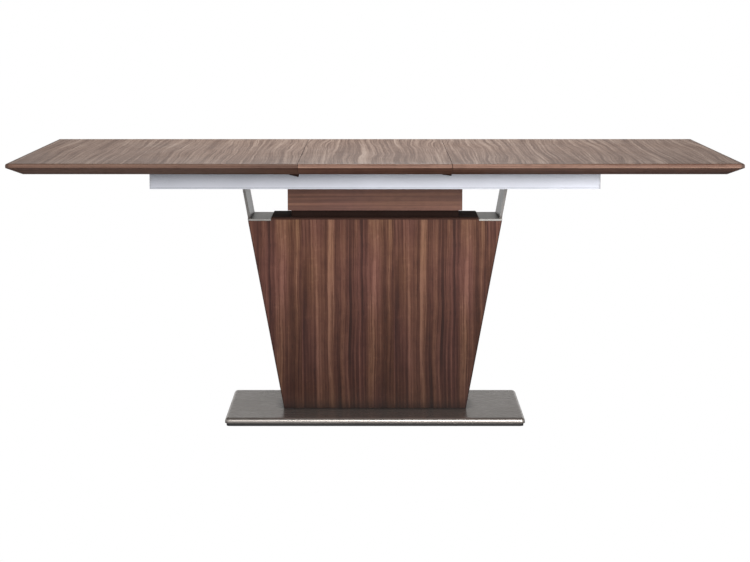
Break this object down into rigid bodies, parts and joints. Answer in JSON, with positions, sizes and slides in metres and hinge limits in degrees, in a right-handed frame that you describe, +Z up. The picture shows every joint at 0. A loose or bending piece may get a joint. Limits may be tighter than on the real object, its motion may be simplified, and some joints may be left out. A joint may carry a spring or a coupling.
{
  "type": "extendable dining table",
  "caption": "Long rectangular dining table with a bevelled walnut top in two halves and a centre leaf, guide rails, steel uprights, tapered walnut pedestal and flat steel base.",
  "frame": {"origin": "on the floor under the middle of the table", "axes": "+X along the table's length, +Y across it towards the rear, +Z up"},
  "size_m": [1.909, 0.909, 0.745],
  "materials": {
    "walnut_top": "satin lacquered walnut veneer, grain across the table",
    "walnut_pedestal": "satin lacquered walnut veneer, upright grain",
    "walnut_side": "dark walnut veneer, upright grain",
    "walnut_apron": "satin lacquered walnut veneer, level grain",
    "carcass_board": "plain particle board and softwood",
    "dark_board": "black-brown stained board, matt",
    "brushed_stainless": "brushed along its length",
    "cast_ballast": "raw",
    "frame_steel": "grey powder coat",
    "silver_aluminium": "satin anodised silver",
    "grey_plastic": "silver-grey moulded",
    "nylon": "natural nylon",
    "rack_plastic": "black acetal",
    "black_rubber": "matt",
    "bright_steel": "zinc plated"
  },
  "bodies": {
    "frame": {"pedestal_front_panel": "walnut_pedestal", "pedestal_rear_panel": "walnut_pedestal", "side_facing_left": "walnut_side", "side_facing_right": "walnut_side", "apron_front": "walnut_apron", "apron_rear": "walnut_apron", "apron_end_left": "walnut_apron", "apron_end_right": "walnut_apron", "pedestal_side_left": "carcass_board", "pedestal_side_right": "carcass_board", "pedestal_floor": "carcass_board", "apron_bottom": "carcass_board", "top_block_left": "carcass_board", "top_block_right": "carcass_board", "pedestal_cap": "dark_board", "riser_block": "dark_board", "base_plinth": "dark_board", "base_cover": "brushed_stainless", "wing_plate_left": "brushed_stainless", "wing_plate_right": "brushed_stainless", "upright_left": "brushed_stainless", "upright_right": "brushed_stainless", "base_ballast": "cast_ballast", "cross_beam_left": "frame_steel", "cross_beam_right": "frame_steel", "stretcher_front": "frame_steel", "stretcher_rear": "frame_steel", "gear_plate": "frame_steel", "rail_front": "silver_aluminium", "rail_rear": "silver_aluminium", "rail_end_caps": "grey_plastic", "rack_guides": "nylon", "thrust_washer": "nylon", "floor_glides": "black_rubber", "base_bolts": "bright_steel", "wing_bolts": "bright_steel", "pinion_axle": "bright_steel", "retaining_ring": "bright_steel"},
    "left_half": {"tabletop_left": "walnut_top", "runner_front_left": "silver_aluminium", "runner_rear_left": "silver_aluminium", "glide_shoes_left": "nylon", "rack_left": "rack_plastic", "rack_bracket_left": "frame_steel", "tie_bar_left": "frame_steel", "runner_screws_left": "bright_steel", "seam_cleats_left": "dark_board"},
    "right_half": {"tabletop_right": "walnut_top", "runner_front_right": "silver_aluminium", "runner_rear_right": "silver_aluminium", "glide_shoes_right": "nylon", "rack_right": "rack_plastic", "rack_bracket_right": "frame_steel", "tie_bar_right": "frame_steel", "runner_screws_right": "bright_steel"},
    "leaf": {"tabletop_leaf": "walnut_top", "seam_cleats_leaf": "dark_board", "leaf_battens": "carcass_board", "leaf_pads": "black_rubber"},
    "pinion": {"pinion": "nylon"}
  },
  "joints": [
    {"name": "left_extension", "type": "slide", "parent": "frame", "child": "left_half", "axis": [-1, 0, 0], "range_m": [0, 0.04]},
    {"name": "right_extension", "type": "slide", "parent": "frame", "child": "right_half", "axis": [1, 0, 0], "range_m": [0, 0.04]},
    {"name": "pinion_spin", "type": "hinge", "parent": "frame", "child": "pinion", "pos_m": [0, 0, 0.69425], "axis": [0, 0, 1], "range_deg": [-100, 5]},
    {"name": "leaf_lift", "type": "slide", "parent": "frame", "child": "leaf", "axis": [0, 0, 1], "range_m": [0, 0.15]}
  ],
  "couplings": [
    {"joint": "right_extension", "follows": "left_extension", "ratio": 1},
    {"joint": "pinion_spin", "follows": "left_extension", "rad_per_m": -41.667}
  ]
}
